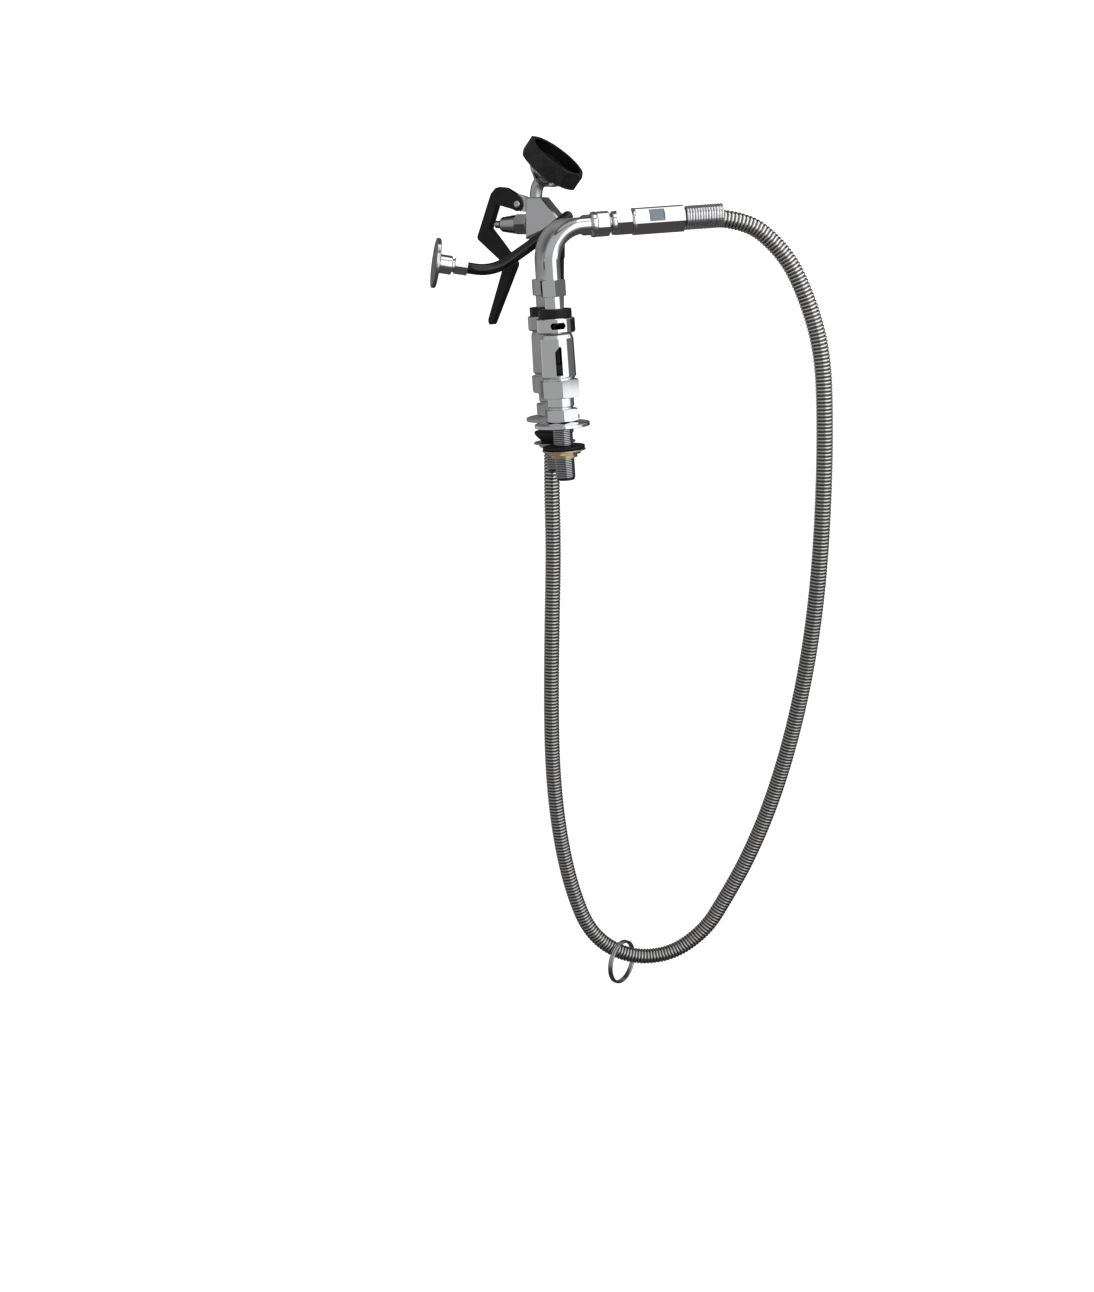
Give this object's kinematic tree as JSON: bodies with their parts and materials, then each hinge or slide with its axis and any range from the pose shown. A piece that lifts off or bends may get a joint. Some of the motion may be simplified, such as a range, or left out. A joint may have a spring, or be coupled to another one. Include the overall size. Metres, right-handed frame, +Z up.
{
  "type": "handheld bath sprayer",
  "caption": "Deck-mounted bath sprayer: risers with vacuum breakers, swivel outlet, ribbed metal hose, trigger spray valve with rubber bumper, and a wall hook.",
  "frame": {"origin": "centre of the front riser's seat on the deck, on the underside of its flange", "axes": "+X along the outlet, +Y from the front riser to the rear riser, away from the viewer, +Z up"},
  "size_m": [0.4614, 0.2181, 1.1146],
  "materials": {
    "chrome": "polished",
    "shank_steel": "dark machined thread",
    "washer_steel": "satin",
    "spring_steel": "polished wire",
    "hose_steel": "ribbed satin",
    "brass": "plain",
    "black_rubber": "matt",
    "black_plastic": "satin",
    "float_plastic": "matt",
    "grey_insert": "matt",
    "lever_black": "satin coating",
    "grip_black": "satin",
    "arm_black": "glossy coating over a rod"
  },
  "bodies": {
    "fixture": {"front_shank": "shank_steel", "front_deck_flange": "chrome", "front_base": "chrome", "front_union_nut": "chrome", "front_breaker_chamber": "chrome", "front_seat_washer": "black_rubber", "front_hood": "chrome", "front_hood_plug": "black_plastic", "front_cap_ring": "black_plastic", "front_tailpiece": "chrome", "front_riser_nut": "chrome", "front_rubber_washer": "black_rubber", "front_friction_plate": "washer_steel", "front_locknut": "brass", "front_elbow": "chrome", "rear_shank": "shank_steel", "rear_deck_flange": "chrome", "rear_base": "chrome", "rear_union_nut": "chrome", "rear_breaker_chamber": "chrome", "rear_seat_washer": "black_rubber", "rear_hood": "chrome", "rear_hood_plug": "black_plastic", "rear_cap_ring": "black_plastic", "rear_tailpiece": "chrome", "rear_riser_nut": "chrome", "rear_rubber_washer": "black_rubber", "rear_friction_plate": "washer_steel", "rear_locknut": "brass", "rear_elbow": "chrome", "outlet_tee": "chrome", "swivel_nipple": "chrome", "coupling_nut": "chrome", "hose": "hose_steel", "hose_ring": "spring_steel", "spray_body": "chrome", "bonnet": "chrome", "lever_pin": "washer_steel", "neck_pipe": "chrome", "spray_cup": "chrome", "spray_face": "washer_steel", "bumper_ring": "black_rubber", "handle_pipe": "chrome", "handle_grip": "grip_black", "hose_nut": "chrome", "wall_flange": "chrome", "flange_hub": "chrome", "hook_nut": "chrome", "hook_arm": "arm_black"},
    "lever": {"lever": "lever_black"},
    "valve": {"valve_stem": "chrome"},
    "front_float": {"front_float": "float_plastic"},
    "rear_float": {"rear_float": "float_plastic"},
    "swivel": {"swivel_sleeve": "chrome", "sleeve_marker": "grey_insert", "spring_guard": "spring_steel"}
  },
  "joints": [
    {"name": "lever_squeeze", "type": "hinge", "parent": "fixture", "child": "lever", "pos_m": [-0.01342, 0.14781, 0.25545], "axis": [-0.5722, -0.8192, 0.04], "range_deg": [0, 9], "stiffness_Nm_per_rad": 6, "springref_deg": -8.59},
    {"name": "valve_slide", "type": "slide", "parent": "fixture", "child": "valve", "axis": [0.8172, -0.5736, -0.0571], "range_m": [0, 0.0054]},
    {"name": "front_float_lift", "type": "slide", "parent": "fixture", "child": "front_float", "axis": [0, 0, 1], "range_m": [0, 0.006]},
    {"name": "rear_float_lift", "type": "slide", "parent": "fixture", "child": "rear_float", "axis": [0, 0, 1], "range_m": [0, 0.006]},
    {"name": "sleeve_swivel", "type": "hinge", "parent": "fixture", "child": "swivel", "pos_m": [0.12, 0, 0.225], "axis": [1, 0, 0], "continuous": true}
  ],
  "couplings": [
    {"joint": "valve_slide", "follows": "lever_squeeze", "m_per_rad": 0.033}
  ]
}
